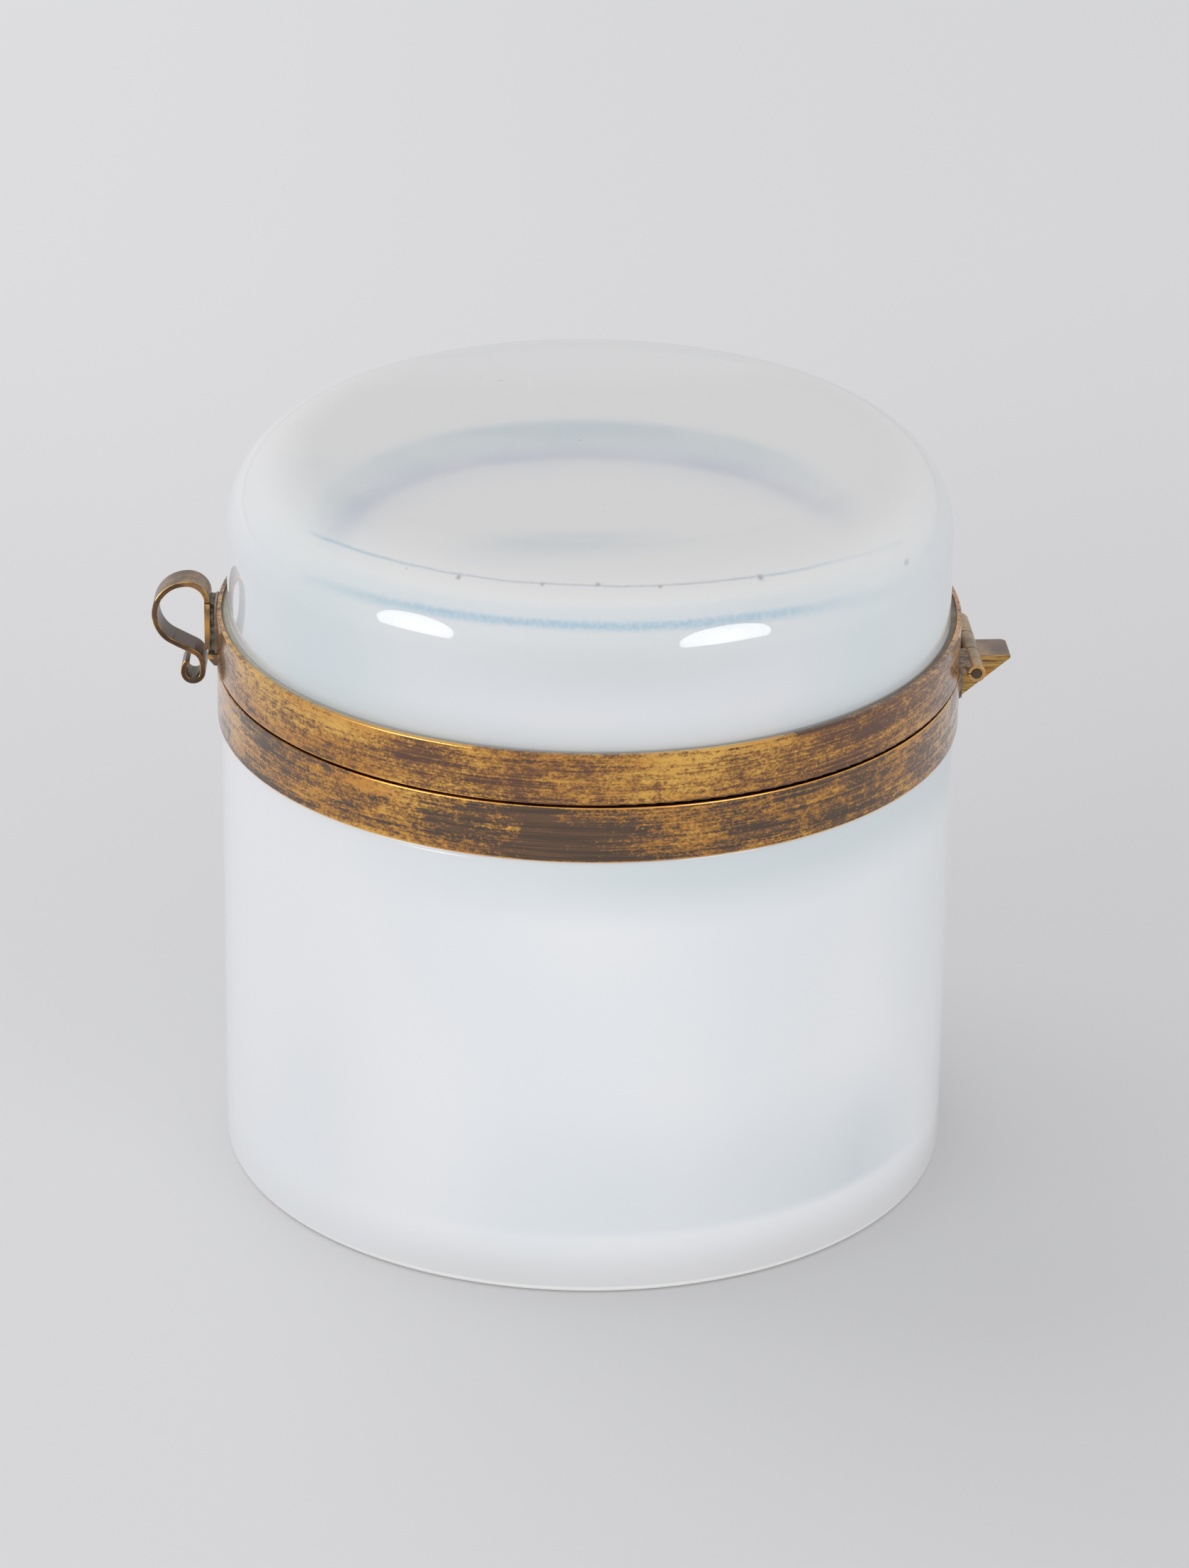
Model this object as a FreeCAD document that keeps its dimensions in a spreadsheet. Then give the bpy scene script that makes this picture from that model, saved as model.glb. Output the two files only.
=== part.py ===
"""Round opaline glass box: a jar and a hinged lid in brass bands, with a ribbon spring clasp.

Millimetres, +Z up. The origin is the centre of the jar's underside. The hinge is on +X, its pin
along Y, and the clasp is on the far side, near -X.
"""
import FreeCAD, Part
import math
import os
import Sketcher
from FreeCAD import Placement, Rotation, Vector

SIZES = [
    # the jar
    ("jar_radius", 54.4, "outside of the jar glass below its band"),
    ("jar_height", 77.1, "jar glass, underside to rim"),
    ("jar_wall", 4.5, "jar glass beside the cavity"),
    ("jar_floor", 7.0, "jar glass under the cavity"),
    ("jar_foot_round", 1.6, "round on the foot's edge"),
    ("jar_corner_round", 5.0, "round between the cavity's wall and floor"),
    ("rim_step", 0.8, "glass ground away behind the lower band"),
    ("glass_rim_round", 0.4, "polished edges of both glass rims"),
    # the lid
    ("lid_rim_height", 33.9, "lid glass, rim to shoulder before rounding"),
    ("lid_wall", 4.4, "lid glass beside its cavity"),
    ("lid_crown", 5.2, "lid glass over its cavity at the middle"),
    ("lid_dish", 2.4, "how far the lid's top sinks from its edge to its middle"),
    ("lid_shoulder_round", 13.0, "outside round of the lid's shoulder"),
    ("lid_corner_round", 8.6, "round between the lid's inner wall and ceiling"),
    # the brass bands and the cement behind them
    ("band_wall", 0.7, "thickness of a band's outside wall"),
    ("flange_wall", 0.6, "thickness of the flange over a glass rim"),
    ("flange_lip", 0.3, "how far a flange stops short of the cavity wall"),
    ("lower_band_height", 8.5, "lower band's outside wall"),
    ("lid_band_height", 7.7, "lid band's outside wall"),
    ("band_edge_round", 0.2, "broken outside edges of the bands"),
    ("jar_cement_wall", 0.7, "cement between the jar's step and its band"),
    ("lid_cement_wall", 0.9, "cement between the lid glass and its band"),
    ("cement_bed", 0.3, "cement between a glass rim and its flange"),
    ("lid_cement_drop", 0.35, "lid cement's surface below the band's top edge"),
    ("seam_gap", 0.35, "gap between the two bands with the lid closed"),
    # the hinge
    ("pin_offset", 1.65, "pin's axis outside the bands' surface"),
    ("pin_radius", 0.75, "hinge pin"),
    ("pin_clearance", 0.05, "running clearance round the pin"),
    ("pin_proud", 0.15, "pin standing out of each end knuckle"),
    ("knuckle_wall", 0.55, "thickness of the brass rolled into a knuckle"),
    ("knuckle_slit", 0.15, "seam where a rolled knuckle closes"),
    ("middle_knuckle_length", 6.2, "knuckle on the lower band"),
    ("end_knuckle_length", 6.9, "each knuckle on the lid band"),
    ("knuckle_gap", 0.12, "side play between knuckles"),
    ("knuckle_edge_break", 0.1, "chamfer on the knuckles' ends"),
    ("hinge_solder_height", 1.2, "solder along a knuckle, from the pin's level"),
    # the stop behind the hinge
    ("stop_reach", 7.6, "stop's top, outwards from the band"),
    ("stop_height", 6.7, "stop's upright side on the band"),
    ("stop_drop", 0.1, "stop's top below the pin's level"),
    ("stop_corner_round", 0.9, "worn outer corner of the stop"),
    ("stop_nose", 0.45, "upright nose at the stop's tip"),
    ("stop_solder_leg", 0.55, "solder beside the stop's foot"),
    ("stop_solder_drop", 0.35, "clearance between that solder and the lid's knuckles"),
    # the ribbon clasp
    ("clasp_turn", 5.0, "degrees from the point opposite the hinge"),
    ("ribbon_width", 4.9, "clasp ribbon along the band"),
    ("ribbon_thickness", 0.8, "clasp ribbon"),
    ("backplate_thickness", 0.36, "plate between the lid band and the clasp"),
    ("backplate_margin", 0.25, "plate beyond each edge of the ribbon"),
    ("clasp_solder_gap", 0.62, "solder between plate and ribbon"),
    ("clasp_solder_inset", 0.3, "solder's edge inside the ribbon's edge"),
    ("leg_foot_clearance", 0.45, "foot of the ribbon's leg above the seam's middle"),
    ("leg_height", 7.45, "straight leg of the ribbon"),
    ("leg_corner_round", 0.5, "worn lower corners of the leg"),
    ("flex_gap", 0.15, "gap at the point where the ribbon flexes"),
    ("loop_crown_radius", 2.9, "bend at the top of the loop, ribbon's middle"),
    ("loop_radius", 4.87, "round of the finger loop, ribbon's middle"),
    ("loop_sweep", 153.0, "degrees turned round the finger loop"),
    ("lip_radius", 2.3, "bend past the catch"),
    ("scroll_run", 1.2, "straight above the scroll"),
    ("scroll_radius", 1.43, "scroll, ribbon's middle"),
    ("scroll_tail_radius", 2.6, "last bend of the scroll"),
    ("scroll_tail_sweep", 40.0, "degrees turned by the last bend"),
    # the catch under the clasp
    ("catch_reach", 1.45, "catch outwards from the lower band"),
    ("catch_clearance", 0.3, "between the catch and the ribbon that passes it"),
    ("catch_height", 1.75, "catch on the lower band"),
    ("catch_root", 0.4, "catch's underside where it meets the slope"),
    ("catch_nose", 0.5, "catch's upright nose above its slope"),
    ("catch_round", 0.3, "worn edges of the catch"),
]

doc = FreeCAD.newDocument("opaline_box")
sheet = doc.addObject("Spreadsheet::Sheet", "Sizes")
for row, (alias, size, meaning) in enumerate(SIZES, start=1):
    sheet.set(f"A{row}", meaning)
    sheet.set(f"B{row}", str(size))
    sheet.setAlias(f"B{row}", alias)
doc.recompute()

# Sizes and levels that follow from the sheet, as expressions.
JAR_BORE = "(Sizes.jar_radius - Sizes.jar_wall)"
JAR_STEP_RADIUS = "(Sizes.jar_radius - Sizes.rim_step)"
BAND_BORE = f"({JAR_STEP_RADIUS} + Sizes.jar_cement_wall)"
BAND_RADIUS = f"({BAND_BORE} + Sizes.band_wall)"
LID_RADIUS = f"({BAND_BORE} - Sizes.lid_cement_wall)"
LID_BORE = f"({LID_RADIUS} - Sizes.lid_wall)"
JAR_FLANGE_BORE = f"({JAR_BORE} + Sizes.flange_lip)"
LID_FLANGE_BORE = f"({LID_BORE} + Sizes.flange_lip)"

# Blocks that are trimmed to a band's surface start inside it, at the lid's bore.
TRIM_RADIUS = LID_BORE

JAR_FLANGE_UNDERSIDE = "(Sizes.jar_height + Sizes.cement_bed)"
LOWER_BAND_TOP = f"({JAR_FLANGE_UNDERSIDE} + Sizes.flange_wall)"
LOWER_BAND_FOOT = f"({LOWER_BAND_TOP} - Sizes.lower_band_height)"
PIN_LEVEL = f"({LOWER_BAND_TOP} + Sizes.seam_gap / 2)"
LID_BAND_FOOT = f"({LOWER_BAND_TOP} + Sizes.seam_gap)"
LID_BAND_TOP = f"({LID_BAND_FOOT} + Sizes.lid_band_height)"
LID_FLANGE_TOP = f"({LID_BAND_FOOT} + Sizes.flange_wall)"
LID_RIM = f"({LID_FLANGE_TOP} + Sizes.cement_bed)"
LID_CEMENT_TOP = f"({LID_BAND_TOP} - Sizes.lid_cement_drop)"
LID_EDGE_TOP = f"({LID_RIM} + Sizes.lid_rim_height)"
LID_CEILING = f"({LID_EDGE_TOP} - Sizes.lid_dish - Sizes.lid_crown)"

PIN_X = f"({BAND_RADIUS} + Sizes.pin_offset)"
KNUCKLE_BORE = "(Sizes.pin_radius + Sizes.pin_clearance)"
KNUCKLE_RADIUS = f"({KNUCKLE_BORE} + Sizes.knuckle_wall)"
END_KNUCKLE_START = "(Sizes.middle_knuckle_length / 2 + Sizes.knuckle_gap)"
HINGE_SOLDER_FOOT = f"({PIN_LEVEL} - Sizes.hinge_solder_height)"
STOP_TOP = f"({PIN_LEVEL} - Sizes.stop_drop)"
STOP_FOOT = f"({STOP_TOP} - Sizes.stop_height)"
PIN_LENGTH = f"(2 * ({END_KNUCKLE_START} + Sizes.end_knuckle_length + Sizes.pin_proud))"

BACKPLATE_RADIUS = f"({BAND_RADIUS} + Sizes.backplate_thickness)"
LEG_INNER = f"({BACKPLATE_RADIUS} + Sizes.clasp_solder_gap)"
LEG_FOOT = f"({PIN_LEVEL} + Sizes.leg_foot_clearance)"
LEG_TOP = f"({LEG_FOOT} + Sizes.leg_height)"
SCROLL_FACE = f"({BAND_RADIUS} + Sizes.catch_reach + Sizes.catch_clearance)"

# Points nearer than this are the same point.
TOUCH = 1e-4

sub_parts = []


def number(expression):
    """The value that an expression on the sheet has now."""
    result = sheet.evalExpression(expression.replace("Sizes.", ""))
    return float(getattr(result, "Value", result))


def size(alias):
    """One size from the sheet as a number."""
    return number(f"Sizes.{alias}")


def keep(piece, label):
    """Name a finished sub-part and list it for export."""
    piece.Label = label
    sub_parts.append(piece)
    return piece


def bind(piece, **expressions):
    """Tie properties of a piece to the sheet; double underscores stand for dots."""
    for name, expression in expressions.items():
        piece.setExpression(name.replace("__", "."), expression)
    return piece


def new_body(name):
    return doc.addObject("PartDesign::Body", name)


def new_sketch(body, name, role):
    """A sketch on one of the body's own origin planes."""
    plane = next(item for item in body.Origin.OriginFeatures if item.Role == role)
    sketch = body.newObject("Sketcher::SketchObject", name)
    sketch.AttachmentSupport = [(plane, "")]
    sketch.MapMode = "FlatFace"
    return sketch


def hold_corner(sketch, line, end, direction, expression):
    """Fix one coordinate of a line's end: on the sketch's axis, or at a sheet expression."""
    axis = -2 if direction == "X" else -1
    if expression == "0":
        sketch.addConstraint(Sketcher.Constraint("PointOnObject", line, end, axis))
        return
    value = number(expression)
    index = sketch.addConstraint(Sketcher.Constraint("Distance" + direction, line, end, value))
    sketch.setExpression(f"Constraints[{index}]", expression)


def dished_arc(start, end):
    """The arc from end to start whose centre is above them on the sketch's vertical axis."""
    rise = start.y - end.y
    radius = (start.x ** 2 + rise ** 2) / (2 * rise)
    circle = Part.Circle(Vector(0, end.y + radius, 0), Vector(0, 0, 1), radius)
    spread = math.asin(start.x / radius)
    return Part.ArcOfCircle(circle, -math.pi / 2, spread - math.pi / 2)


def draw_outline(sketch, corners, dished=False):
    """A closed outline through corners given as pairs of expressions.

    Its sides are straight lines. In a dished outline the side that ends at the last corner, which
    lies on the sketch's vertical axis, is an arc centred on that axis instead.
    """
    points = [Vector(number(across), number(up), 0) for across, up in corners]
    count = len(points)
    arcs = {count - 2} if dished else set()
    for side in range(count):
        draw = dished_arc if side in arcs else Part.LineSegment
        sketch.addGeometry(draw(points[side], points[(side + 1) % count]))
    # An arc runs anticlockwise, so its own start is the side's end.
    starts = [2 if side in arcs else 1 for side in range(count)]
    for side in range(count):
        following = (side + 1) % count
        finish = 3 - starts[side]
        joint = Sketcher.Constraint("Coincident", side, finish, following, starts[following])
        sketch.addConstraint(joint)
    for side, (across, up) in enumerate(corners):
        hold_corner(sketch, side, starts[side], "X", across)
        hold_corner(sketch, side, starts[side], "Y", up)
    for side in arcs:
        sketch.addConstraint(Sketcher.Constraint("PointOnObject", side, 3, -2))


def turned_body(name, corners, dished=False):
    """A body of revolution about Z from its half section, given as (radius, height) corners."""
    body = new_body(name)
    section = new_sketch(body, name + "_section", "XZ_Plane")
    draw_outline(section, corners, dished)
    turning = body.newObject("PartDesign::Revolution", name + "_turning")
    turning.Profile = (section, [""])
    turning.ReferenceAxis = (section, ["V_Axis"])
    turning.Angle = 360
    section.Visibility = False
    doc.recompute()
    return body


def ring_edges(body, rings):
    """Names of the body's circular edges at the given (radius, height) pairs of expressions."""
    wanted = [(number(radius), number(height)) for radius, height in rings]
    names = []
    for index, edge in enumerate(body.Tip.Shape.Edges, start=1):
        if edge.Degenerated or not isinstance(edge.Curve, Part.Circle):
            continue
        reach = edge.Curve.Radius
        level = edge.Curve.Center.z
        if any(math.dist((reach, level), ring) < TOUCH for ring in wanted):
            names.append(f"Edge{index}")
    return names


def round_body_edges(body, name, radius, edges):
    """Round the named edges of the body as it is so far."""
    carrier = body.Tip
    fillet = body.newObject("PartDesign::Fillet", name)
    fillet.Base = (carrier, edges)
    fillet.setExpression("Radius", radius)
    doc.recompute()


def round_rings(body, name, radius, rings):
    """Round the body's circular edges at the given places."""
    round_body_edges(body, name, radius, ring_edges(body, rings))


def rounded_edges(name, base, alias, indices):
    """The base with its edges of these numbers rounded to a size from the sheet."""
    radius = size(alias)
    fillet = doc.addObject("Part::Fillet", name)
    fillet.Base = base
    fillet.Edges = [(index, radius, radius) for index in indices]
    return fillet


def pad_both_ways(body, sketch, name, length):
    """Pad a sketch on the XZ plane by half the length to each side."""
    pad = body.newObject("PartDesign::Pad", name)
    pad.Profile = (sketch, [""])
    pad.Midplane = True
    pad.setExpression("Length", length)
    doc.recompute()


def upright_cylinder(name, radius, foot, height):
    cylinder = doc.addObject("Part::Cylinder", name)
    return bind(cylinder, Radius=radius, Height=height, Placement__Base__z=foot)


def cross_cylinder(name, radius, start, length):
    """A cylinder along +Y on the hinge pin's axis, from start."""
    cylinder = doc.addObject("Part::Cylinder", name)
    cylinder.Placement = Placement(Vector(), Rotation(Vector(1, 0, 0), -90))
    return bind(
        cylinder,
        Radius=radius,
        Height=length,
        Placement__Base__x=PIN_X,
        Placement__Base__y=start,
        Placement__Base__z=PIN_LEVEL,
    )


def block(name, corner, extent):
    """A box from its lowest corner and its extent along X, Y and Z, all as expressions."""
    box = doc.addObject("Part::Box", name)
    bind(box, Length=extent[0], Width=extent[1], Height=extent[2])
    return bind(
        box,
        Placement__Base__x=corner[0],
        Placement__Base__y=corner[1],
        Placement__Base__z=corner[2],
    )


def cut(name, base, *tools):
    """The base less each tool in turn."""
    result = base
    for count, tool in enumerate(tools, start=1):
        step = doc.addObject("Part::Cut", name if count == len(tools) else f"{name}_step_{count}")
        step.Base = result
        step.Tool = tool
        result = step
    return result


def common(name, first, second):
    result = doc.addObject("Part::Common", name)
    result.Base = first
    result.Tool = second
    return result


def turn_to_clasp(piece):
    """Swing a piece that was built at -X round to the clasp's place."""
    piece.Placement = Placement(Vector(), Rotation(Vector(0, 0, 1), -number("Sizes.clasp_turn")))
    return bind(piece, Placement__Rotation__Angle="-Sizes.clasp_turn")


# ---------------------------------------------------------------- glass

def make_jar_glass():
    step_level = LOWER_BAND_FOOT
    jar = turned_body("jar_glass", [
        ("0", "0"),
        ("Sizes.jar_radius", "0"),
        ("Sizes.jar_radius", step_level),
        (JAR_STEP_RADIUS, step_level),
        (JAR_STEP_RADIUS, "Sizes.jar_height"),
        (JAR_BORE, "Sizes.jar_height"),
        (JAR_BORE, "Sizes.jar_floor"),
        ("0", "Sizes.jar_floor"),
    ])
    round_rings(jar, "jar_foot", "Sizes.jar_foot_round", [("Sizes.jar_radius", "0")])
    round_rings(jar, "jar_corner", "Sizes.jar_corner_round", [(JAR_BORE, "Sizes.jar_floor")])
    round_rings(jar, "jar_rim", "Sizes.glass_rim_round", [
        (JAR_STEP_RADIUS, "Sizes.jar_height"),
        (JAR_BORE, "Sizes.jar_height"),
    ])
    keep(jar, "jar_glass")


def make_lid_glass():
    lid = turned_body("lid_glass", [
        ("0", LID_CEILING),
        (LID_BORE, LID_CEILING),
        (LID_BORE, LID_RIM),
        (LID_RADIUS, LID_RIM),
        (LID_RADIUS, LID_EDGE_TOP),
        ("0", f"{LID_EDGE_TOP} - Sizes.lid_dish"),
    ], dished=True)
    round_rings(lid, "lid_shoulder", "Sizes.lid_shoulder_round", [(LID_RADIUS, LID_EDGE_TOP)])
    round_rings(lid, "lid_corner", "Sizes.lid_corner_round", [(LID_BORE, LID_CEILING)])
    round_rings(lid, "lid_rim", "Sizes.glass_rim_round", [
        (LID_RADIUS, LID_RIM),
        (LID_BORE, LID_RIM),
    ])
    keep(lid, "lid_glass")


# ---------------------------------------------------------------- bands and cement

def make_bands():
    lower = turned_body("lower_band", [
        (BAND_BORE, LOWER_BAND_FOOT),
        (BAND_RADIUS, LOWER_BAND_FOOT),
        (BAND_RADIUS, LOWER_BAND_TOP),
        (JAR_FLANGE_BORE, LOWER_BAND_TOP),
        (JAR_FLANGE_BORE, JAR_FLANGE_UNDERSIDE),
        (BAND_BORE, JAR_FLANGE_UNDERSIDE),
    ])
    edges = [(BAND_RADIUS, LOWER_BAND_FOOT), (BAND_RADIUS, LOWER_BAND_TOP)]
    round_rings(lower, "lower_band_edges", "Sizes.band_edge_round", edges)
    keep(lower, "lower_band")

    upper = turned_body("lid_band", [
        (BAND_BORE, LID_BAND_TOP),
        (BAND_BORE, LID_FLANGE_TOP),
        (LID_FLANGE_BORE, LID_FLANGE_TOP),
        (LID_FLANGE_BORE, LID_BAND_FOOT),
        (BAND_RADIUS, LID_BAND_FOOT),
        (BAND_RADIUS, LID_BAND_TOP),
    ])
    edges = [(BAND_RADIUS, LID_BAND_FOOT), (BAND_RADIUS, LID_BAND_TOP)]
    round_rings(upper, "lid_band_edges", "Sizes.band_edge_round", edges)
    keep(upper, "lid_band")


def make_cement():
    jar_cement = turned_body("jar_cement", [
        (JAR_STEP_RADIUS, LOWER_BAND_FOOT),
        (BAND_BORE, LOWER_BAND_FOOT),
        (BAND_BORE, JAR_FLANGE_UNDERSIDE),
        (JAR_FLANGE_BORE, JAR_FLANGE_UNDERSIDE),
        (JAR_FLANGE_BORE, "Sizes.jar_height"),
        (JAR_STEP_RADIUS, "Sizes.jar_height"),
    ])
    keep(jar_cement, "jar_cement")
    lid_cement = turned_body("lid_cement", [
        (LID_RADIUS, LID_CEMENT_TOP),
        (LID_RADIUS, LID_RIM),
        (LID_FLANGE_BORE, LID_RIM),
        (LID_FLANGE_BORE, LID_FLANGE_TOP),
        (BAND_BORE, LID_FLANGE_TOP),
        (BAND_BORE, LID_CEMENT_TOP),
    ])
    keep(lid_cement, "lid_cement")


# ---------------------------------------------------------------- hinge

def make_knuckle(label, start, length):
    """A rolled tube on the pin, with its seam towards the band and its end edges broken."""
    tube = cross_cylinder(label + "_tube", KNUCKLE_RADIUS, start, length)
    doc.recompute()
    eased = doc.addObject("Part::Chamfer", label + "_eased")
    eased.Base = tube
    ease = size("knuckle_edge_break")
    eased.Edges = [
        (index, ease, ease)
        for index, edge in enumerate(tube.Shape.Edges, start=1)
        if isinstance(edge.Curve, Part.Circle)
    ]
    bore = cross_cylinder(label + "_bore", KNUCKLE_BORE, start, length)
    slit = block(
        label + "_slit",
        (f"{PIN_X} - {KNUCKLE_RADIUS}", start, f"{PIN_LEVEL} - Sizes.knuckle_slit / 2"),
        (KNUCKLE_RADIUS, length, "Sizes.knuckle_slit"),
    )
    keep(cut(label, eased, bore, slit), label)


def make_knuckle_solder(label, start, length, above):
    """Solder that fills the wedge between a knuckle and the band that carries it."""
    height = "(Sizes.hinge_solder_height - Sizes.seam_gap / 2)"
    foot = LID_BAND_FOOT if above else HINGE_SOLDER_FOOT
    stock = block(
        label + "_stock",
        (TRIM_RADIUS, start, foot),
        (f"{PIN_X} - {KNUCKLE_BORE} - {TRIM_RADIUS}", length, height),
    )
    tube = cross_cylinder(label + "_seat", KNUCKLE_RADIUS, start, length)
    keep(cut(label, stock, band_envelope(label + "_band"), tube), label)


def make_hinge():
    middle_start = "(-Sizes.middle_knuckle_length / 2)"
    front_start = f"(-{END_KNUCKLE_START} - Sizes.end_knuckle_length)"
    places = [
        ("hinge_knuckle_middle", middle_start, "Sizes.middle_knuckle_length", False),
        ("hinge_knuckle_front", front_start, "Sizes.end_knuckle_length", True),
        ("hinge_knuckle_rear", END_KNUCKLE_START, "Sizes.end_knuckle_length", True),
    ]
    for label, start, length, above in places:
        make_knuckle(label, start, length)
        make_knuckle_solder(label + "_solder", start, length, above)
    pin = cross_cylinder("hinge_pin", "Sizes.pin_radius", f"-{PIN_LENGTH} / 2", PIN_LENGTH)
    keep(pin, "hinge_pin")


def band_envelope(name):
    """A solid cylinder of both bands, which trims what is soldered to them."""
    height = f"{LID_BAND_TOP} - {LOWER_BAND_FOOT}"
    return upright_cylinder(name, BAND_RADIUS, LOWER_BAND_FOOT, height)


def make_stop():
    """The triangular stop that the open lid's band comes down on."""
    tip = f"({BAND_RADIUS} + Sizes.stop_reach)"
    width = "Sizes.middle_knuckle_length"
    start = f"(-{width} / 2)"
    triangle = new_body("stop_triangle")
    side = new_sketch(triangle, "stop_side", "XZ_Plane")
    draw_outline(side, [
        (TRIM_RADIUS, STOP_FOOT),
        (BAND_RADIUS, STOP_FOOT),
        (tip, f"{STOP_TOP} - Sizes.stop_nose"),
        (tip, STOP_TOP),
        (TRIM_RADIUS, STOP_TOP),
    ])
    pad_both_ways(triangle, side, "stop_pad", width)
    plan = block(
        "stop_plan",
        (TRIM_RADIUS, start, STOP_FOOT),
        (f"{tip} - {TRIM_RADIUS}", width, "Sizes.stop_height"),
    )
    doc.recompute()
    worn_corner = (number(tip), size("middle_knuckle_length") / 2)
    worn = rounded_edges("stop_plan_worn", plan, "stop_corner_round", [
        index for index, edge in enumerate(plan.Shape.Edges, start=1)
        if all(math.dist((v.X, v.Y), worn_corner) < TOUCH for v in edge.Vertexes)
    ])
    blank = common("stop_blank", triangle, worn)
    knuckle = cross_cylinder("stop_seat", KNUCKLE_RADIUS, start, width)
    solder_room = block(
        "stop_solder_room",
        (TRIM_RADIUS, start, HINGE_SOLDER_FOOT),
        (f"{PIN_X} - {TRIM_RADIUS}", width, f"{STOP_TOP} - {HINGE_SOLDER_FOOT}"),
    )
    seated = cut("stop_seated", blank, band_envelope("stop_band"), knuckle, solder_room)
    keep(seated, "hinge_stop_wedge")


def make_stop_solder():
    """A fillet of solder up each side of the stop, below the reach of the lid's knuckles."""
    leg = "Sizes.stop_solder_leg"
    to_band = f"({BAND_RADIUS} - {TRIM_RADIUS})"
    height = f"({PIN_LEVEL} - {KNUCKLE_RADIUS} - Sizes.stop_solder_drop - {STOP_FOOT})"
    rear = doc.addObject("Part::Wedge", "stop_fillet_rear")
    bind(rear, Xmin="0", Xmax=f"{to_band} + {leg}", X2min="0", X2max=to_band)
    bind(rear, Ymin="0", Ymax=leg)
    bind(rear, Zmin="0", Zmax=height, Z2min="0", Z2max=height)
    bind(
        rear,
        Placement__Base__x=TRIM_RADIUS,
        Placement__Base__y="Sizes.middle_knuckle_length / 2",
        Placement__Base__z=STOP_FOOT,
    )
    front = doc.addObject("Part::Mirroring", "stop_fillet_front")
    front.Source = rear
    front.Normal = Vector(0, 1, 0)
    pair = doc.addObject("Part::MultiFuse", "stop_fillets")
    pair.Shapes = [rear, front]
    keep(cut("stop_fillets_trimmed", pair, band_envelope("stop_fillet_band")), "hinge_stop_solder")


# ---------------------------------------------------------------- clasp

def clasp_block(name, inner, outer, width, foot, top):
    """A block at -X between two distances from the axis, centred on the clasp."""
    corner = (f"-{outer}", f"-{width} / 2", foot)
    return block(name, corner, (f"{outer} - {inner}", width, f"{top} - {foot}"))


def make_backplate():
    """The plate on the lid band, curved like the band."""
    width = "(Sizes.ribbon_width + 2 * Sizes.backplate_margin)"
    height = f"{LID_BAND_TOP} - {LID_BAND_FOOT}"
    blank = clasp_block(
        "backplate_blank", TRIM_RADIUS, BACKPLATE_RADIUS, width, LID_BAND_FOOT, LID_BAND_TOP)
    face = upright_cylinder("backplate_face", BACKPLATE_RADIUS, LID_BAND_FOOT, height)
    rounded = common("backplate_rounded", blank, face)
    plate = cut("backplate_trimmed", rounded, band_envelope("backplate_band"))
    keep(turn_to_clasp(plate), "clasp_backplate")


def make_clasp_solder():
    """Solder between the curved plate and the straight leg."""
    width = "(Sizes.ribbon_width - 2 * Sizes.clasp_solder_inset)"
    blank = clasp_block("clasp_solder_blank", TRIM_RADIUS, LEG_INNER, width, LEG_FOOT, LID_BAND_TOP)
    height = f"{LID_BAND_TOP} - {LEG_FOOT}"
    plate = upright_cylinder("clasp_solder_seat", BACKPLATE_RADIUS, LEG_FOOT, height)
    keep(turn_to_clasp(cut("clasp_solder_trimmed", blank, plate)), "clasp_solder")


def make_leg():
    """The ribbon's straight leg, with its two lower corners worn round."""
    outside = f"({LEG_INNER} + Sizes.ribbon_thickness)"
    blank = clasp_block("leg_blank", LEG_INNER, outside, "Sizes.ribbon_width", LEG_FOOT, LEG_TOP)
    doc.recompute()
    foot = number(LEG_FOOT)
    leg = rounded_edges("leg_worn", blank, "leg_corner_round", [
        index for index, edge in enumerate(blank.Shape.Edges, start=1)
        if edge.BoundBox.YLength < TOUCH and all(abs(v.Z - foot) < TOUCH for v in edge.Vertexes)
    ])
    keep(turn_to_clasp(leg), "clasp_leg")


def trace(point, heading, moves):
    """Edges of a path in an XZ plane from a point; a move is a straight or a turn to one side.

    heading is in degrees from +X towards +Z. A move is (length,) or (radius, degrees), where
    positive degrees turn left, seen with X to the right and Z up.
    """
    edges = []
    for move in moves:
        ahead = Vector(math.cos(math.radians(heading)), 0, math.sin(math.radians(heading)))
        if len(move) == 1:
            finish = point + ahead * move[0]
            edges.append(Part.LineSegment(point, finish).toShape())
        else:
            radius, degrees = move
            to_centre = Vector(-ahead.z, 0, ahead.x) * math.copysign(radius, degrees)
            spokes = [Rotation(Vector(0, -1, 0), degrees * share) for share in (0.5, 1)]
            middle, finish = [point + to_centre - spoke.multVec(to_centre) for spoke in spokes]
            edges.append(Part.Arc(point, middle, finish).toShape())
            heading += degrees
        point = finish
    return edges


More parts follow.
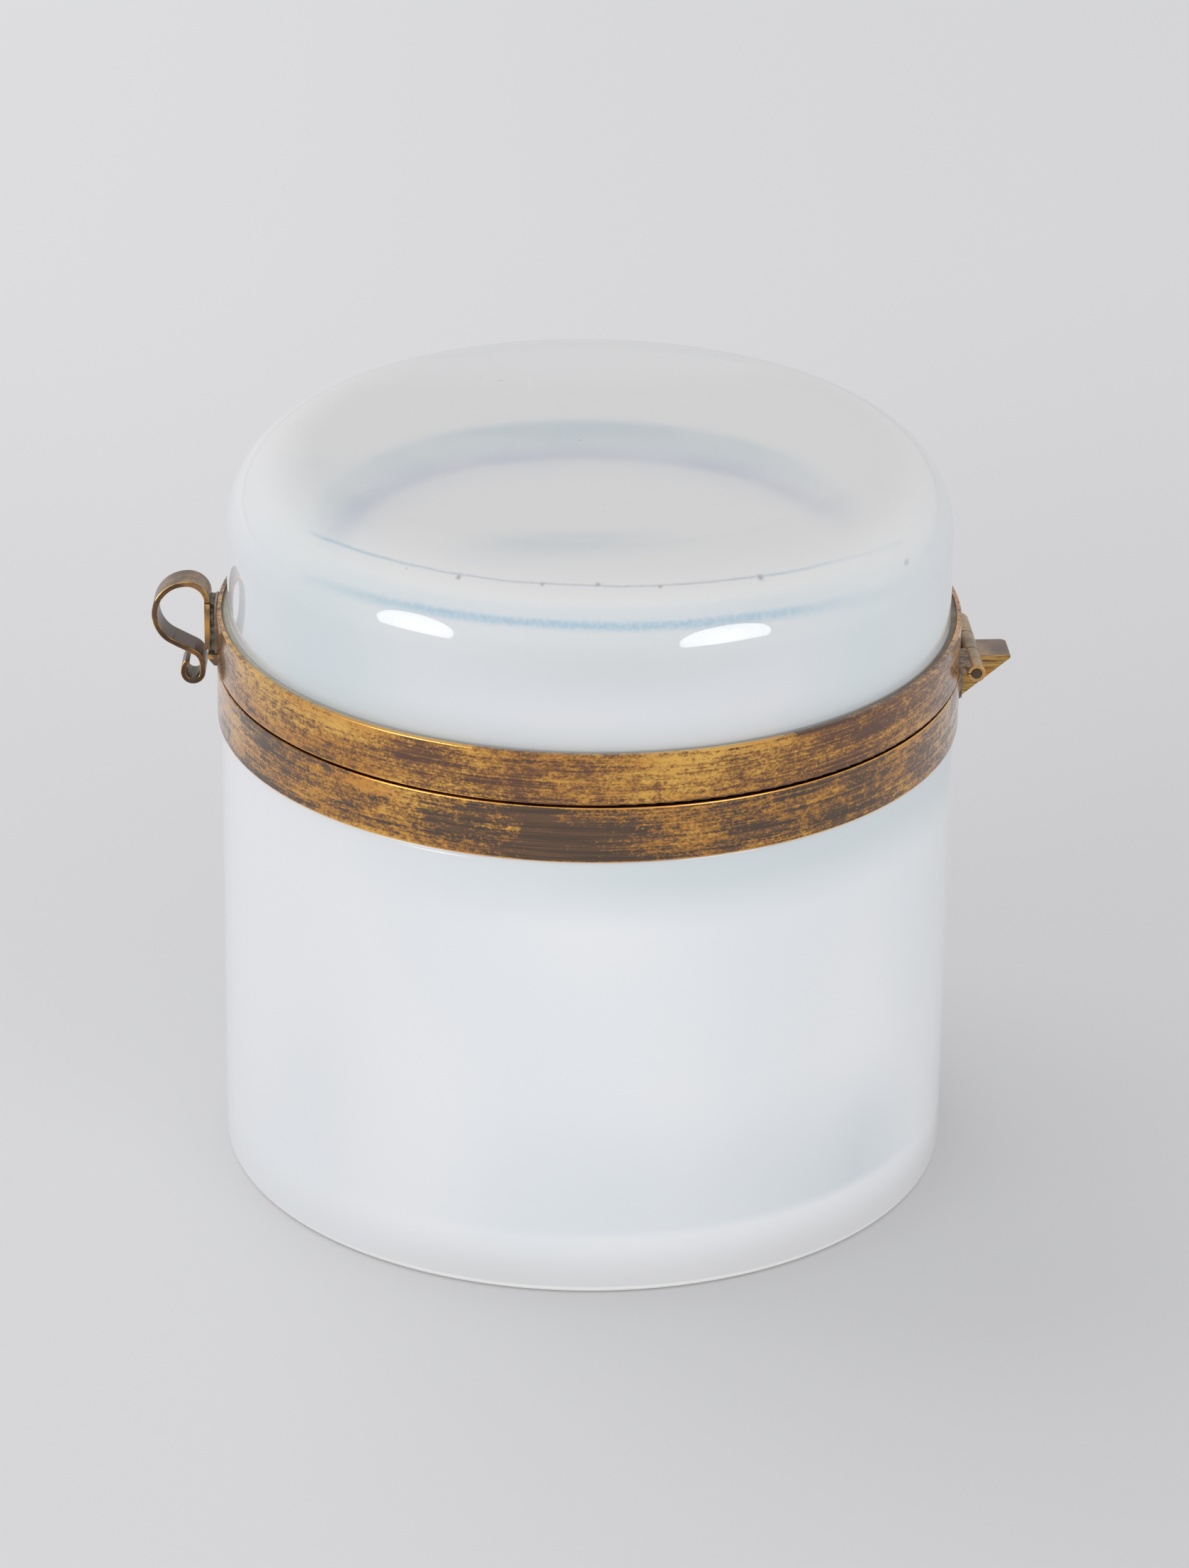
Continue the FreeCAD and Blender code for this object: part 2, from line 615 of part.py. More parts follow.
def make_loop():
    """The ribbon above the leg: crown, finger loop, lip past the catch, and scroll.

    The path is the ribbon's face towards the band, which is the outer face of the loop's bends
    and the inner face of the scroll's. The lip runs in until it just clears the catch.
    """
    upward = 90
    lean = size("loop_sweep") - 90
    slope = math.radians(lean)
    overhang = size("loop_crown_radius") + size("loop_radius") * math.cos(slope)
    lip_inset = size("lip_radius") * (1 - math.cos(slope))
    lip_run = (number(f"{LEG_INNER} - {SCROLL_FACE}") + overhang - lip_inset) / math.sin(slope)
    start = Vector(-number(LEG_INNER), 0, number(f"{LEG_TOP} + Sizes.flex_gap"))
    half = size("ribbon_thickness") / 2
    path = doc.addObject("Part::Feature", "ribbon_path")
    path.Shape = Part.Wire(trace(start, upward, [
        (size("loop_crown_radius") + half, 90),
        (size("loop_radius") + half, size("loop_sweep")),
        (lip_run,),
        (size("lip_radius") - half, -lean),
        (size("scroll_run"),),
        (size("scroll_radius") - half, -180),
        (size("scroll_tail_radius") - half, -size("scroll_tail_sweep")),
    ]))
    section = doc.addObject("Part::Offset2D", "ribbon_section")
    section.Source = path
    section.Mode = "Skin"
    section.Fill = True
    section.setExpression("Value", "Sizes.ribbon_thickness")
    ribbon = doc.addObject("Part::Extrusion", "ribbon")
    ribbon.Base = section
    ribbon.Dir = Vector(0, 1, 0)
    ribbon.Solid = True
    ribbon.Symmetric = True
    bind(ribbon, LengthFwd="Sizes.ribbon_width")
    keep(turn_to_clasp(ribbon), "clasp_loop")


def make_catch():
    """The catch on the lower band, which the lip snaps over."""
    outer = f"-({BAND_RADIUS} + Sizes.catch_reach)"
    foot = f"({LOWER_BAND_TOP} - Sizes.catch_height)"
    catch = new_body("catch_block")
    side = new_sketch(catch, "catch_side", "XZ_Plane")
    draw_outline(side, [
        (f"-{TRIM_RADIUS}", LOWER_BAND_TOP),
        (outer, LOWER_BAND_TOP),
        (outer, f"{LOWER_BAND_TOP} - Sizes.catch_nose"),
        (f"-({BAND_RADIUS} + Sizes.catch_root)", foot),
        (f"-{TRIM_RADIUS}", foot),
    ])
    pad_both_ways(catch, side, "catch_pad", "Sizes.ribbon_width")
    nose = number(outer)
    round_body_edges(catch, "catch_rounds", "Sizes.catch_round", [
        f"Edge{index}" for index, edge in enumerate(catch.Tip.Shape.Edges, start=1)
        if edge.BoundBox.ZLength < TOUCH and all(abs(v.X - nose) < TOUCH for v in edge.Vertexes)
    ])
    keep(turn_to_clasp(cut("catch_trimmed", catch, band_envelope("catch_band"))), "catch_bead")


BUILDERS = (
    make_jar_glass, make_lid_glass, make_bands, make_cement,
    make_hinge, make_stop, make_stop_solder,
    make_backplate, make_clasp_solder, make_leg, make_loop, make_catch,
)
for build in BUILDERS:
    build()
doc.recompute()
for item in doc.Objects:
    bad = [word for word in item.State if word in ("Invalid", "Error")]
    if bad:
        raise RuntimeError(f"{item.Label}: {bad}")
os.makedirs("parts", exist_ok=True)
for piece in sub_parts:
    if piece.Shape.isNull() or not piece.Shape.isValid():
        raise RuntimeError(f"{piece.Label} has no valid shape")
    piece.Shape.exportStep(f"parts/{piece.Label}.step")
    print(piece.Label, len(piece.Shape.Solids), round(piece.Shape.Volume, 3), piece.Shape.BoundBox)
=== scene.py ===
"""Looks of a round opaline glass box: milky glass, patinated brass bands, hinge, stop and clasp.

Metres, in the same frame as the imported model: the jar's underside is at the origin, the hinge is on
+X and the clasp near -X.
"""
import math

import bmesh
import bpy
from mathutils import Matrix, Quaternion, Vector


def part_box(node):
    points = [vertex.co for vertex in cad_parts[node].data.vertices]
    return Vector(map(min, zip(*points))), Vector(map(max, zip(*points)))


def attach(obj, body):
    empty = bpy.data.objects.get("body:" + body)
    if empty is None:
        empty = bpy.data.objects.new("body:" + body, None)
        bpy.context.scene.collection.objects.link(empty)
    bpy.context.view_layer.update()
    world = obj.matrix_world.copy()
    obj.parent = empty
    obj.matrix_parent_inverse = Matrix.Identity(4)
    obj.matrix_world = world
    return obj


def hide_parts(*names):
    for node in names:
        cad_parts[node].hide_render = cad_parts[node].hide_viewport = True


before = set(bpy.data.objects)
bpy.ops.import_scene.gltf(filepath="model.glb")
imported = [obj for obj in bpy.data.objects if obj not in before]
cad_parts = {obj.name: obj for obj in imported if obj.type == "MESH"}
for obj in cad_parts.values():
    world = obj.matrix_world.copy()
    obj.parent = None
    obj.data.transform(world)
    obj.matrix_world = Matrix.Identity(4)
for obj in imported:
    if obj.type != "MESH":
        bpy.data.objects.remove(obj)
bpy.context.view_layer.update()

MM = 0.001


# ---------------------------------------------------------------- sizes

def outer_radius(node):
    """Outside radius of a turned node."""
    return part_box(node)[1].y


def top(node):
    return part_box(node)[1].z


def foot(node):
    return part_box(node)[0].z


GLASS_SEGMENTS = 240
ARC_STEP = 0.35 * MM
FEWEST_ARC_STEPS = 3
RUN_STEP = 2.5 * MM
# A point of an outline nearer to the axis than this lies on it.
ON_AXIS = 1e-7

JAR_WALL = 4.5 * MM
JAR_FLOOR = 7.0 * MM
JAR_FOOT_ROUND = 1.6 * MM
JAR_CORNER_ROUND = 5.0 * MM
RIM_STEP = 0.8 * MM
RIM_ROUND = 0.4 * MM
STEP_ROUND = 0.5 * MM
LID_WALL = 4.4 * MM
LID_CROWN = 5.2 * MM
LID_DISH = 2.4 * MM
LID_SHOULDER_ROUND = 13.0 * MM
LID_CORNER_ROUND = 8.6 * MM
LID_RIM_HEIGHT = 33.9 * MM
# The shoulder's corner lies this far under the lid's edge, so that it meets the sunken top.
SHOULDER_DROP = 0.05 * MM
# Points of the sunken top, as shares of the lid's radius.
DISH_SHARES = (0.72, 0.6, 0.48, 0.36, 0.24, 0.12, 0)

WORN_BEVEL = 0.1 * MM
FINE_BEVEL = 0.08 * MM
# Edges sharper than this are worn, once vertices closer than the reach are joined.
BEVEL_ANGLE = math.radians(40)
WELD_REACH = 0.001 * MM
EVEN_SHADING_WEIGHT = 100

# The jar's tints and painted shade, each from the height where it sets in to the height where it is
# full. The blue painted shade over the floor sets in from below, and fades again higher up.
# Blue painted shade under the band, where the band keeps light off the glass.
SHADE_UNDER_BAND = (57 * MM, 67 * MM)
SHADE_OVER_FLOOR = (8.6 * MM, 10.8 * MM)
SHADE_OVER_FLOOR_FADED = (34 * MM, 12 * MM)
GREY_FOOT = (9.5 * MM, 2 * MM)
# A painted highlight and glow along the foot's rounded edge.
FOOT_HIGHLIGHT_HEIGHTS = (1.5 * MM, 0.9 * MM)
# How strong the blue painted shade over the floor is along X, in millimetres.
SHADE_OVER_FLOOR_ALONG = ((-50, 0.0), (-25, 0.15), (0, 0.6), (22, 0.85), (38, 1.0), (48, 0.1))
# A painted highlight, a white glint under the jar's step: how far under it and half its height, then
# its place along X and half its length.
PAINTED_GLINT_DROP, PAINTED_GLINT_HALF_HEIGHT = 0.75 * MM, 0.16 * MM
PAINTED_GLINT_PLACE, PAINTED_GLINT_HALF_LENGTH = -25 * MM, 6.5 * MM

# How much the lid shows of what lies behind it, by height in millimetres from its top edge.
LID_CLEARNESS = ((-17, 0.02), (-13, 0.12), (-9, 0.42), (-5, 0.52), (-1, 0.55))
# A dark seed in the glass on the lid's right shoulder.
LID_SEED = (43.0 * MM, -29.8 * MM, 104.2 * MM)
LID_SEED_REACH = 0.75 * MM

# The blue haze under the lid's crown lies between two circles on the ceiling.
HAZE_CENTRE = (-2 * MM, -22 * MM, 0)
HAZE_RADIUS = 38.3 * MM
HAZE_INNER_CENTRE = (-2.5 * MM, -33 * MM, 0)
HAZE_INNER_RADIUS = 34.9 * MM
# How strong the haze is, by millimetres from its inner circle.
HAZE_FADE = ((-14, 0.0), (-7, 0.12), (-3.4, 0.36), (-1.2, 1.0))
HAZE_POOL = (-5 * MM, -33.5 * MM, 105.5 * MM)
HAZE_POOL_REACH = 5.5 * MM
# Two lines run round the lid's inner corner under the front of the crown, each on its own circle.
LINE_CENTRE = (1.2 * MM, 6 * MM, 0)
LINE_RADIUS = 48.7 * MM
LINE_HALF = 0.32 * MM
ARC_CENTRE = (0.5 * MM, 2.6 * MM, 0)
ARC_RADIUS = 49.7 * MM
ARC_HALF = 0.72 * MM
ARC_HALO_HALF = 2.0 * MM
# Seeds in the glass along the line: place along X and Y, and reach, in millimetres.
LINE_SEEDS = (
    (-20.7, -38.0, 0.6), (-9.6, -41.6, 0.45), (-2.1, -42.3, 0.525), (6.3, -42.6, 0.45),
    (20.2, -39.0, 0.675))

# Half the height of the bright line along a band's worn edge.
EDGE_HALF = 0.35 * MM
# The cement is clean at the first radius and stained by the brass at the second.
CEMENT_STAIN = (53.7 * MM, 54.25 * MM)
# The inside of the clasp's loop turns brown from the first height down to the second.
LOOP_SHADE = (86 * MM, 84.5 * MM)

# The share of the lamps' light that passes through the milky glass.
LIGHT_PASSED = 0.75
GLASS_IOR = 1.5

# The height of the parting between the bands. The camera looks at its middle, and is then turned a
# little.
PARTING = (top("lower_band") + foot("lid_band")) / 2
CAMERA_DISTANCE = 915 * MM
CAMERA_ELEVATION = math.radians(23.03)
CAMERA_SWING = math.radians(-4.4)
CAMERA_TILT = math.radians(-1.21)
CAMERA_PAN = math.radians(0.07)
CAMERA_ROLL = math.radians(0.74)
CAMERA_LENS = 141.7
CAMERA_CLIP = (0.05, 20)
UMBRELLA_SPREAD = math.radians(90)
FLOOR_REACH = 4.0
FLOOR_SQUARES = 8
WORLD_LIGHT = 0.69


# ---------------------------------------------------------------- shader helpers

class Shader:
    """A material made of nodes, with one Principled shader."""

    def __init__(self, name):
        self.material = bpy.data.materials.new(name)
        self.material.use_nodes = True
        self.tree = self.material.node_tree
        self.tree.nodes.clear()
        self.surface = self.node("ShaderNodeBsdfPrincipled")
        self.output = self.node("ShaderNodeOutputMaterial", {"Surface": self.surface.outputs[0]})
        coordinates = self.node("ShaderNodeTexCoord")
        self.place = coordinates.outputs["Object"]
        self.normal = coordinates.outputs["Normal"]

    def feed(self, socket, value):
        """Link a socket to another node's output, or set it to a number or colour."""
        if isinstance(value, bpy.types.NodeSocket):
            self.tree.links.new(value, socket)
        else:
            socket.default_value = value

    def node(self, kind, inputs=None, **settings):
        made = self.tree.nodes.new(kind)
        for key, value in settings.items():
            setattr(made, key, value)
        for key, value in (inputs or {}).items():
            self.feed(made.inputs[key], value)
        return made

    def math(self, operation, first, second=0.0, third=0.0):
        inputs = {0: first, 1: second, 2: third}
        return self.node("ShaderNodeMath", inputs, operation=operation).outputs[0]

    def times(self, first, *others):
        """The product of several numbers."""
        for other in others:
            first = self.math("MULTIPLY", first, other)
        return first

    def vector(self, operation, first, second):
        return self.node("ShaderNodeVectorMath", {0: first, 1: second}, operation=operation).outputs[0]

    def length(self, vector):
        return self.node("ShaderNodeVectorMath", {0: vector}, operation="LENGTH").outputs["Value"]

    def noise(self, factors, detail=2.0, rough=0.5, shift=0.0):
        """Noise from 0 to 1, with this many features per metre along X, Y and Z."""
        inputs = {"Vector": self.vector("MULTIPLY", self.place, factors), "Scale": 1.0,
                  "Detail": detail, "Roughness": rough, "W": shift}
        return self.node("ShaderNodeTexNoise", inputs, noise_dimensions="4D").outputs["Fac"]

    def ramp(self, value, low, high, to_low=0.0, to_high=1.0):
        """The value taken from one range to another, with soft ends and no overshoot."""
        inputs = {"Value": value, "From Min": low, "From Max": high, "To Min": to_low, "To Max": to_high}
        return self.node("ShaderNodeMapRange", inputs, interpolation_type="SMOOTHSTEP").outputs[0]

    def band(self, value, middle, half):
        """1 at the middle of a stretch, fading to 0 at its two ends."""
        away = self.math("ABSOLUTE", self.math("SUBTRACT", value, middle))
        return self.ramp(away, 0.0, half, 1.0, 0.0)

    def levels(self, value, start, stops):
        """A number read off straight lines through (millimetres from start, number) stops."""
        first, last = stops[0][0], stops[-1][0]
        inputs = {"Value": value, "From Min": start + first * MM, "From Max": start + last * MM}
        share = self.node("ShaderNodeMapRange", inputs).outputs[0]
        ramp = self.node("ShaderNodeValToRGB", {"Fac": share})
        elements = ramp.color_ramp.elements
        while len(elements) < len(stops):
            elements.new(1.0)
        for element, (place, number) in zip(elements, stops):
            element.position = (place - first) / (last - first)
            element.color = (number, number, number, 1.0)
        return ramp.outputs["Color"]

    def mix(self, share, first, second):
        """One colour with a share of another over it."""
        made = self.node("ShaderNodeMix", data_type="RGBA", clamp_factor=True)
        # The inputs for numbers come first, then those for vectors, then those for colours.
        for index, value in ((0, share), (6, first), (7, second)):
            self.feed(made.inputs[index], value)
        return made.outputs[2]

    def axis(self, name):
        return self.node("ShaderNodeSeparateXYZ", {0: self.place}).outputs[name]

    def facing(self, name):
        """How far the surface faces along an axis, from -1 to 1."""
        return self.node("ShaderNodeSeparateXYZ", {0: self.normal}).outputs[name]

    def away_from(self, centre):
        """Distance from an upright line through a point on the ground."""
        shifted = self.vector("SUBTRACT", self.place, centre)
        return self.length(self.vector("MULTIPLY", shifted, (1, 1, 0)))

    def near(self, point, reach, stretch=(1, 1, 1)):
        """1 at a point, fading to 0 at this distance from it; stretch scales the distance by axis."""
        shifted = self.vector("SUBTRACT", self.place, point)
        away = self.length(self.vector("MULTIPLY", shifted, stretch))
        return self.ramp(away, 0.0, reach, 1.0, 0.0)

    def bump(self, height, distance):
        return self.node("ShaderNodeBump", {"Height": height, "Distance": distance}).outputs[0]

    def set(self, **inputs):
        """Set the Principled shader's inputs; underscores stand for spaces."""
        for key, value in inputs.items():
            self.feed(self.surface.inputs[key.replace("_", " ")], value)


def rgb(red, green, blue):
    """A colour given as it looks on a screen, from 0 to 255."""
    def linear(part):
        share = part / 255
        return share / 12.92 if share <= 0.04045 else ((share + 0.055) / 1.055) ** 2.4
    return (linear(red), linear(green), linear(blue), 1.0)


def repaint(shader, share, colour):
    """Put another colour over part of a material."""
    under = shader.surface.inputs["Base Color"].links[0].from_socket
    shader.set(Base_Color=shader.mix(share, under, colour))


# ---------------------------------------------------------------- glass

MILK = rgb(226, 227, 230)
MILK_BLUE = rgb(207, 216, 220)
MILK_GREY = rgb(201, 206, 209)
SHADED_BLUE = rgb(202, 210, 214)
FOOT_GREY = rgb(208, 208, 209)
PAINTED_FOOT_HIGHLIGHT = rgb(238, 238, 236)
PAINTED_GLINT = rgb(255, 255, 255)
LID_MILK = rgb(214, 216, 220)
LID_BLUE = rgb(203, 213, 217)
CROWN = rgb(223, 223, 225)
CROWN_INNER = rgb(231, 231, 232)
CORNER_INNER = rgb(240, 240, 240)
SEED_GREY = rgb(150, 152, 156)
LINE_SEED_GREY = rgb(84, 88, 96)
LINE_GREY = rgb(160, 168, 180)
LINE_BLUE = rgb(120, 182, 214)
ARC_BLUE = rgb(10, 166, 208)
HAZE_TEAL = rgb(162, 191, 206)
HAZE_VIOLET = rgb(148, 162, 200)
BEHIND_GLASS = (1.0, 0.995, 0.985, 1.0)
NO_TINT = (1.0, 1.0, 1.0, 1.0)


def milky(shader, white=MILK):
    """Opal glass of uneven depth: white, with slow bluish clouds."""
    cloud = shader.noise((22, 22, 14), detail=1.5, rough=0.45)
    return shader.mix(shader.ramp(cloud, 0.38, 0.62, 0.0, 0.3), white, MILK_BLUE)


def polish(shader, body, relief):
    """Fire-polished glass, pulled slightly uneven when it was blown."""
    pull = shader.noise((26, 26, 10), detail=1.0, shift=2.0)
    shader.set(Base_Color=body, Roughness=0.04, IOR=GLASS_IOR, Normal=shader.bump(pull, relief))


def show_behind(shader, share, behind):
    """Replace a share of the Principled shader with another shader."""
    both = {0: share, 1: shader.surface.outputs[0], 2: behind.outputs[0]}
    mixed = shader.node("ShaderNodeMixShader", both)
    shader.tree.links.new(mixed.outputs[0], shader.output.inputs["Surface"])


def see_through(shader, share):
    """Polished glass of which a share shows what lies behind it, bent as by thick glass.

    Light from the lamps and light scattered inside pass straight on, as they do through milky glass.
    """
    bent = {"Color": BEHIND_GLASS, "Roughness": 0.0, "IOR": GLASS_IOR}
    glass = shader.node("ShaderNodeBsdfGlass", bent)
    clear = shader.node("ShaderNodeBsdfTransparent", {"Color": BEHIND_GLASS})
    path = shader.node("ShaderNodeLightPath")
    lit = shader.math("MAXIMUM", path.outputs["Is Shadow Ray"], path.outputs["Is Diffuse Ray"])
    behind = shader.node("ShaderNodeMixShader", {0: lit, 1: glass.outputs[0], 2: clear.outputs[0]})
    show_behind(shader, shader.math("MAXIMUM", share, shader.times(lit, LIGHT_PASSED)), behind)


def let_light_in(shader):
    """Let the lamps' light through to the inside of the box, though nothing behind the glass shows."""
    clear = shader.node("ShaderNodeBsdfTransparent", {"Color": NO_TINT})
    lit = shader.node("ShaderNodeLightPath").outputs["Is Shadow Ray"]
    show_behind(shader, shader.times(lit, LIGHT_PASSED), clear)


def jar_opal(step):
    """The jar's outside: blue painted shade under the band and over the thick floor, grey at the foot.
    """
    shader = Shader("jar_opal")
    along, height = shader.axis("X"), shader.axis("Z")
    drift = shader.noise((30, 30, 30), detail=1.0, shift=3.0)
    # Blue painted shade over the floor and under the band, stronger to the right.
    shade_over_floor = shader.times(
        shader.ramp(height, *SHADE_OVER_FLOOR, 0.0, 0.85),
        shader.ramp(height, *SHADE_OVER_FLOOR_FADED),
        shader.ramp(drift, 0.35, 0.6, 0.7, 1.0),
        shader.levels(along, 0.0, SHADE_OVER_FLOOR_ALONG))
    shade_under_band = shader.times(
        shader.ramp(height, *SHADE_UNDER_BAND, 0.0, 0.95),
        shader.ramp(along, -50 * MM, 10 * MM))
    foot_grey = shader.times(
        shader.ramp(height, *GREY_FOOT, 0.0, 0.85),
        shader.ramp(along, -50 * MM, -15 * MM, 0.25, 1.0))
    # A painted highlight: a white glint under the step.
    painted_glint = shader.times(
        shader.band(height, step - PAINTED_GLINT_DROP, PAINTED_GLINT_HALF_HEIGHT),
        shader.band(along, PAINTED_GLINT_PLACE, PAINTED_GLINT_HALF_LENGTH))
    body = shader.mix(shade_over_floor, milky(shader), SHADED_BLUE)
    body = shader.mix(shade_under_band, body, SHADED_BLUE)
    body = shader.mix(foot_grey, body, FOOT_GREY)
    # A painted highlight along the foot's edge.
    body = shader.mix(shader.ramp(height, *FOOT_HIGHLIGHT_HEIGHTS), body, PAINTED_FOOT_HIGHLIGHT)
    body = shader.mix(painted_glint, body, PAINTED_GLINT)
    polish(shader, body, 0.04 * MM)
    let_light_in(shader)
    return shader.material


def jar_opal_inner():
    shader = Shader("jar_opal_inner")
    shader.set(Base_Color=milky(shader), Roughness=0.12, IOR=GLASS_IOR)
    let_light_in(shader)
    return shader.material


def lid_opal(edge_top):
    """The lid's outside: nearly opaque on the side, half clear on the crown."""
    shader = Shader("lid_opal")
    along, across, height = shader.axis("X"), shader.axis("Y"), shader.axis("Z")
    slant = shader.node("ShaderNodeLayerWeight", {"Blend": 0.5}).outputs["Facing"]
    share = shader.times(
        shader.levels(height, edge_top, LID_CLEARNESS),
        shader.ramp(slant, 0.55, 0.98, 1.0, 0.1),
        shader.ramp(across, 33 * MM, 20 * MM, 0.1, 1.0),
        shader.ramp(shader.math("ABSOLUTE", along), 50 * MM, 40 * MM, 0.25, 1.0))

    # Blue at both ends of the front; grey painted shade in its middle and low on the side, near the
    # band.
    front = shader.ramp(across, 5 * MM, -15 * MM)
    left = shader.times(shader.band(along, -41 * MM, 13 * MM), 0.8)
    right = shader.times(shader.band(along, 37 * MM, 15 * MM), 0.75)
    blue = shader.times(shader.math("ADD", left, right), front)
    shade = shader.times(
        shader.band(height, edge_top - 13.5 * MM, 10 * MM), shader.band(along, 0.0, 40 * MM), 0.95)
    # Painted shade low on the side, near the band.
    low = shader.times(shader.ramp(height, edge_top - 21.5 * MM, edge_top - 27 * MM), 0.6)
    crown = shader.ramp(height, edge_top - 12 * MM, edge_top - 3 * MM)
    body = shader.mix(blue, milky(shader, LID_MILK), LID_BLUE)
    body = shader.mix(shade, body, MILK_GREY)
    body = shader.mix(low, body, MILK_GREY)
    body = shader.mix(crown, body, CROWN)
    body = shader.mix(shader.times(left, front, 0.6), body, LID_BLUE)

    bubbles = shader.ramp(shader.noise((1100, 1100, 1100), detail=0.0, shift=3.3), 0.84, 0.88, 0.0, 0.35)
    body = shader.mix(shader.times(bubbles, crown), body, SEED_GREY)
    seed = shader.times(shader.near(LID_SEED, LID_SEED_REACH, (0.9, 0.45, 1.0)), 0.75)
    body = shader.mix(seed, body, SEED_GREY)
    polish(shader, body, 0.05 * MM)
    see_through(shader, share)
    return shader.material


def lid_opal_inner(ceiling):
    """The lid's inner face, where the milky layer thins and turns blue.

    A thin grey line with seeds and a blue arc run round the corner under the front of the crown, and
    a blue haze lies across the ceiling, violet along its inner edge. Line, arc and haze are partly the
    glass's own colour and partly painted shade: the dark inside of the lid seen through the thin opal.
    """
    shader = Shader("lid_opal_inner")
    along, across, height = shader.axis("X"), shader.axis("Y"), shader.axis("Z")
    wander = shader.noise((120, 120, 120), detail=1.0, shift=4.0)
    wander = shader.times(shader.math("SUBTRACT", wander, 0.5), 1.6 * MM)
    seeds = shader.noise((2600, 2600, 900), detail=1.0, shift=6.0)
    drift = shader.noise((60, 60, 60), detail=1.0, shift=7.0)
    off_middle = shader.math("ABSOLUTE", shader.math("ADD", along, 2.5 * MM))
    body = shader.mix(
        shader.ramp(height, ceiling - 2 * MM, ceiling - 0.2 * MM), CORNER_INNER, CROWN_INNER)

    # The haze: partly the glass's own blue, partly painted shade of the dark inside seen through it.
    outer = shader.away_from(HAZE_CENTRE)
    inner = shader.math("ADD", shader.away_from(HAZE_INNER_CENTRE), wander)
    violet = shader.times(
        shader.ramp(inner, HAZE_INNER_RADIUS + 5.5 * MM, HAZE_INNER_RADIUS - 0.5 * MM),
        shader.ramp(seeds, 0.35, 0.5, 0.75, 1.0))
    haze = shader.times(
        shader.ramp(outer, HAZE_RADIUS + 1.2 * MM, HAZE_RADIUS - 2.8 * MM),
        shader.levels(inner, HAZE_INNER_RADIUS, HAZE_FADE),
        shader.ramp(height, ceiling - 2.0 * MM, ceiling - 0.8 * MM),
        shader.ramp(across, -29 * MM, -17 * MM),
        shader.math("MAXIMUM", shader.ramp(off_middle, 18 * MM, 39 * MM, 0.93, 0.3),
                    shader.times(violet, 0.8)),
        shader.ramp(drift, 0.36, 0.6, 0.7, 1.0),
        shader.ramp(seeds, 0.35, 0.6, 0.85, 1.0))
    body = shader.mix(haze, body, shader.mix(violet, HAZE_TEAL, HAZE_VIOLET))
    pool = shader.times(shader.near(HAZE_POOL, HAZE_POOL_REACH, (0.25, 1.0, 1.0)), 0.55)
    body = shader.mix(pool, body, HAZE_TEAL)

    # The line: seeds in the glass, and partly painted shade where the ceiling meets the corner.
    reach = shader.math("MULTIPLY_ADD", wander, 0.35, shader.away_from(LINE_CENTRE))
    line = shader.times(
        shader.band(reach, LINE_RADIUS, LINE_HALF),
        shader.ramp(across, -18 * MM, -24 * MM),
        shader.ramp(along, 35 * MM, 20 * MM, 0.25, 1.0),
        shader.ramp(seeds, 0.42, 0.62, 0.6, 1.0))
    line_colour = shader.mix(shader.ramp(off_middle, 16 * MM, 32 * MM), LINE_GREY, LINE_BLUE)
    body = shader.mix(line, body, line_colour)
    for x, y, size in LINE_SEEDS:
        seed = shader.near((x * MM, y * MM, 0), size * MM, (1, 1, 0))
        body = shader.mix(seed, body, LINE_SEED_GREY)

    # The arc: partly the glass's own blue, partly painted shade of the dark inside seen through it.
    ring = shader.math("MULTIPLY_ADD", wander, 0.15, shader.away_from(ARC_CENTRE))
    halo = shader.times(shader.band(ring, ARC_RADIUS - 0.5 * MM, ARC_HALO_HALF), 0.28)
    arc = shader.times(
        shader.math("MAXIMUM", shader.band(ring, ARC_RADIUS, ARC_HALF), halo),
        shader.ramp(seeds, 0.35, 0.6, 0.65, 1.0),
        shader.ramp(off_middle, 22 * MM, 41 * MM, 1.0, 0.2),
        shader.ramp(across, -20 * MM, -27 * MM))
    body = shader.mix(arc, body, ARC_BLUE)
    shader.set(Base_Color=body, Roughness=0.4, Specular_IOR_Level=0.1)
    return shader.material


# ---------------------------------------------------------------- metal and cement

GOLD, DEEP_GOLD = rgb(250, 196, 94), rgb(228, 158, 68)
OCHRE, DEEP_OCHRE = rgb(186, 130, 62), rgb(154, 102, 50)
RUBBED_GOLD, DULL_GOLD = rgb(238, 184, 100), rgb(206, 150, 82)
HANDLED_LIGHT, HANDLED_DARK = rgb(156, 128, 102), rgb(96, 74, 58)


